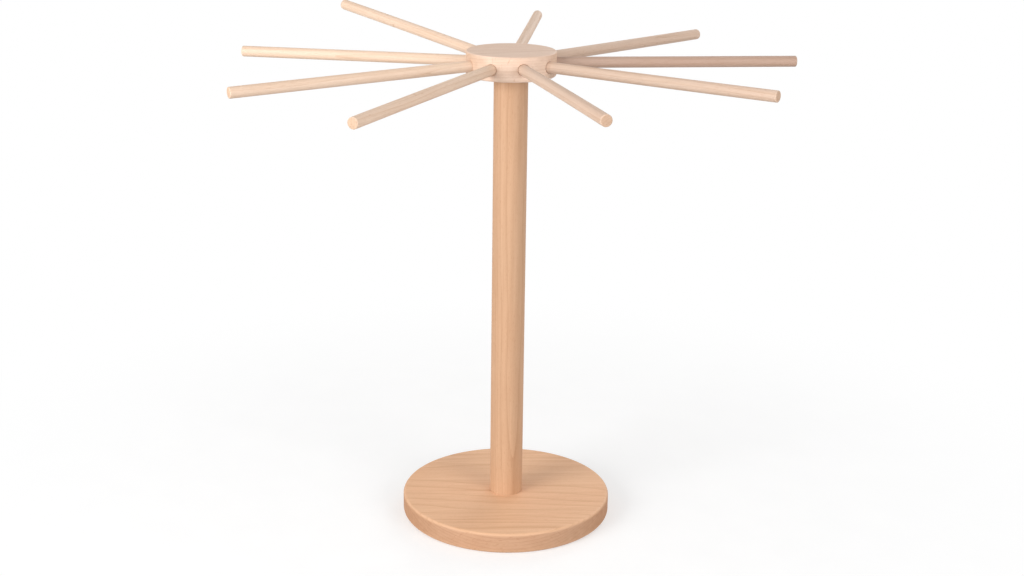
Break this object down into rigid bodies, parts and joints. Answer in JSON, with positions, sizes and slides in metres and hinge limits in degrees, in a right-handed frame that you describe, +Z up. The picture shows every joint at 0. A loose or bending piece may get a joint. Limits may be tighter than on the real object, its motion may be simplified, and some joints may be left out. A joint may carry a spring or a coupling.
{
  "type": "pasta drying rack",
  "caption": "Turned wooden rack for drying fresh pasta: a round base, a central post and a turning hub with loose radial rods.",
  "frame": {"origin": "centre of the base's flat underside", "axes": "+Z up along the post's axis; +X along the first rod; the other rods follow at steps of 40 degrees, some a little askew, turning from +X towards +Y"},
  "size_m": [0.4076, 0.4133, 0.3741],
  "materials": {
    "base_wood": "sanded beech, unvarnished",
    "post_wood": "sanded beech dowel, unvarnished",
    "hub_wood": "sanded beech, unvarnished",
    "rod_wood": "sanded beech dowel, unvarnished",
    "peg_wood": "fluted beech dowel pin",
    "zinc_steel": "zinc plated"
  },
  "bodies": {
    "stand": {"base": "base_wood", "base_screw": "zinc_steel", "post": "post_wood", "hub_peg": "peg_wood"},
    "hub": {"hub": "hub_wood"},
    "rod_1": {"rod_1": "rod_wood"},
    "rod_2": {"rod_2": "rod_wood"},
    "rod_3": {"rod_3": "rod_wood"},
    "rod_4": {"rod_4": "rod_wood"},
    "rod_5": {"rod_5": "rod_wood"},
    "rod_6": {"rod_6": "rod_wood"},
    "rod_7": {"rod_7": "rod_wood"},
    "rod_8": {"rod_8": "rod_wood"},
    "rod_9": {"rod_9": "rod_wood"}
  },
  "joints": [
    {"name": "hub_turn", "type": "hinge", "parent": "stand", "child": "hub", "pos_m": [0, 0, 0.3515], "axis": [0, 0, 1], "continuous": true},
    {"name": "rod_1_pull", "type": "slide", "parent": "hub", "child": "rod_1", "axis": [1, 0, 0], "range_m": [0, 0.025]},
    {"name": "rod_2_pull", "type": "slide", "parent": "hub", "child": "rod_2", "axis": [0.7826, 0.6225, 0], "range_m": [0, 0.025]},
    {"name": "rod_3_pull", "type": "slide", "parent": "hub", "child": "rod_3", "axis": [0.2078, 0.9778, 0.0262], "range_m": [0, 0.025]},
    {"name": "rod_4_pull", "type": "slide", "parent": "hub", "child": "rod_4", "axis": [-0.5709, 0.8154, 0.0958], "range_m": [0, 0.025]},
    {"name": "rod_5_pull", "type": "slide", "parent": "hub", "child": "rod_5", "axis": [-0.9303, 0.3664, -0.0175], "range_m": [0, 0.025]},
    {"name": "rod_6_pull", "type": "slide", "parent": "hub", "child": "rod_6", "axis": [-0.9361, -0.35, -0.0349], "range_m": [0, 0.025]},
    {"name": "rod_7_pull", "type": "slide", "parent": "hub", "child": "rod_7", "axis": [-0.5516, -0.8334, -0.0349], "range_m": [0, 0.025]},
    {"name": "rod_8_pull", "type": "slide", "parent": "hub", "child": "rod_8", "axis": [0.1736, -0.9848, 0], "range_m": [0, 0.025]},
    {"name": "rod_9_pull", "type": "slide", "parent": "hub", "child": "rod_9", "axis": [0.766, -0.6428, 0], "range_m": [0, 0.025]}
  ]
}
